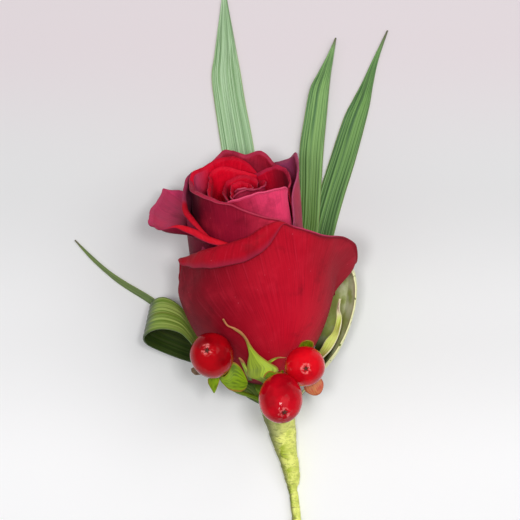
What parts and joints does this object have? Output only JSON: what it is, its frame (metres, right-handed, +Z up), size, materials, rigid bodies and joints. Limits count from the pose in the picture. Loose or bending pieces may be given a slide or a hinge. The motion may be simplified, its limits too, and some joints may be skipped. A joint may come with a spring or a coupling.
{
  "type": "boutonniere",
  "caption": "Buttonhole flower: a red rose with grass blades, a looped leaf, red berries and a cream-edged leaf, bound in green floral tape.",
  "frame": {"origin": "middle of the footprint, on the surface that the flower lies on", "axes": "+Y from the taped stem towards the tips of the grass blades, +Z up, away from the surface; the rose faces up"},
  "size_m": [0.0776, 0.1446, 0.0499],
  "materials": {
    "rose_petals": "satin",
    "rose_green": "satin",
    "pale_blade": "satin",
    "mid_blade": "satin",
    "dark_blade": "satin",
    "striped_leaf": "satin",
    "berry_skin": "gloss",
    "berry_stalk": "satin",
    "cream_edged_leaf": "satin",
    "tape_crepe": "matte"
  },
  "bodies": {
    "root": {"rose_bloom": "rose_petals", "rose_calyx": "rose_green", "blade_left": "pale_blade", "blade_middle": "mid_blade", "blade_right": "dark_blade", "grass_strand": "dark_blade", "leaf_loop": "striped_leaf", "berry_left": "berry_skin", "berry_right": "berry_skin", "berry_bottom": "berry_skin", "sprig_left": "berry_stalk", "sprig_right": "berry_stalk", "sprig_bottom": "berry_stalk", "variegated_leaf": "cream_edged_leaf", "floral_tape": "tape_crepe"}
  },
  "joints": []
}
